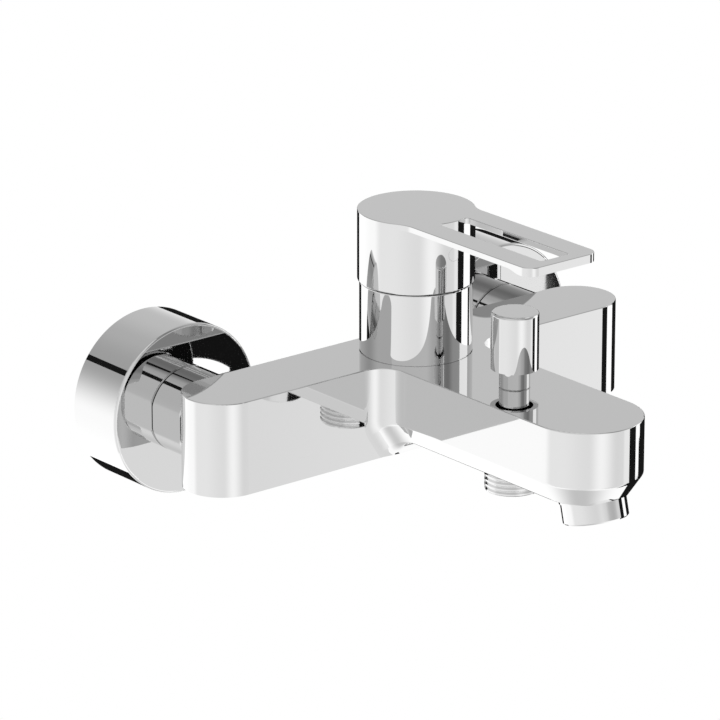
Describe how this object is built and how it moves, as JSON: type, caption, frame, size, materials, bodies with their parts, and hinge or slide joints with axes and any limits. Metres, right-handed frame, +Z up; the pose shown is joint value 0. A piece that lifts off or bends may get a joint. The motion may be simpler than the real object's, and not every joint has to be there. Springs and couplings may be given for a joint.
{
  "type": "wall mounted bath mixer faucet",
  "caption": "Wall mounted single lever bath and shower mixer: round-ended crossbar, flat spout, slotted lever, pull-up diverter, shower outlet and deep wall flanges.",
  "frame": {"origin": "on the wall face, midway between the axes of the two supply studs", "axes": "+X to the right for someone facing the wall, +Y into the wall along the studs, +Z up"},
  "size_m": [0.2134, 0.1919, 0.1024],
  "materials": {
    "chrome": "polished chrome plate",
    "brass": "machined",
    "steel": "bright drawn",
    "black_rubber": "matt",
    "white_plastic": "moulded",
    "grey_plastic": "moulded",
    "ceramic": "lapped alumina"
  },
  "bodies": {
    "mixer": {"mixer_body": "chrome", "left_coupling_nut": "chrome", "right_coupling_nut": "chrome", "left_inlet_nipple": "chrome", "right_inlet_nipple": "chrome", "left_wall_flange": "chrome", "right_wall_flange": "chrome", "tower_cover": "chrome", "diverter_bonnet": "chrome", "shower_outlet": "chrome", "aerator_housing": "chrome", "left_eccentric_union": "brass", "right_eccentric_union": "brass", "cartridge_nut": "brass", "diverter_seat": "brass", "diverter_spring": "steel", "check_valve_spring": "steel", "left_flange_seal": "black_rubber", "right_flange_seal": "black_rubber", "cartridge_port_seals": "black_rubber", "diverter_bonnet_seal": "black_rubber", "aerator_gasket": "black_rubber", "left_inlet_washer": "black_rubber", "right_inlet_washer": "black_rubber", "cartridge_base": "white_plastic", "cartridge_housing": "white_plastic", "check_valve_sleeve": "grey_plastic", "aerator_insert": "grey_plastic", "fixed_ceramic_disc": "ceramic"},
    "carrier": {"cartridge_rotor": "white_plastic", "pivot_pin": "steel"},
    "handle": {"handle_lever": "chrome", "lever_spindle": "steel", "handle_set_screw": "steel", "handle_screw_plug": "chrome"},
    "disc": {"moving_ceramic_disc": "ceramic", "disc_driver": "white_plastic"},
    "diverter": {"diverter_knob": "chrome", "diverter_stem": "brass", "diverter_lower_washer": "black_rubber", "diverter_piston": "brass", "diverter_upper_washer": "black_rubber", "diverter_stem_nut": "brass"},
    "poppet": {"check_valve_poppet": "grey_plastic"}
  },
  "joints": [
    {"name": "temperature_swivel", "type": "hinge", "parent": "mixer", "child": "carrier", "pos_m": [0, -0.0642, 0.01895], "axis": [0, 0, 1], "range_deg": [-50, 50]},
    {"name": "lever_lift", "type": "hinge", "parent": "carrier", "child": "handle", "pos_m": [0, -0.0642, 0.01895], "axis": [-1, 0, 0], "range_deg": [0, 22]},
    {"name": "disc_slide", "type": "slide", "parent": "carrier", "child": "disc", "axis": [0, -1, 0], "range_m": [0, 0.0022]},
    {"name": "diverter_lift", "type": "slide", "parent": "mixer", "child": "diverter", "axis": [0, 0, 1], "range_m": [0, 0.0068], "stiffness_N_per_m": 250, "springref_m": -0.008, "deforming": ["diverter_spring"]},
    {"name": "check_valve_travel", "type": "slide", "parent": "mixer", "child": "poppet", "axis": [0, 0, -1], "range_m": [0, 0.002], "stiffness_N_per_m": 60, "springref_m": -0.004, "deforming": ["check_valve_spring"]}
  ],
  "couplings": [
    {"joint": "disc_slide", "follows": "lever_lift", "m_per_rad": 0.0054}
  ]
}
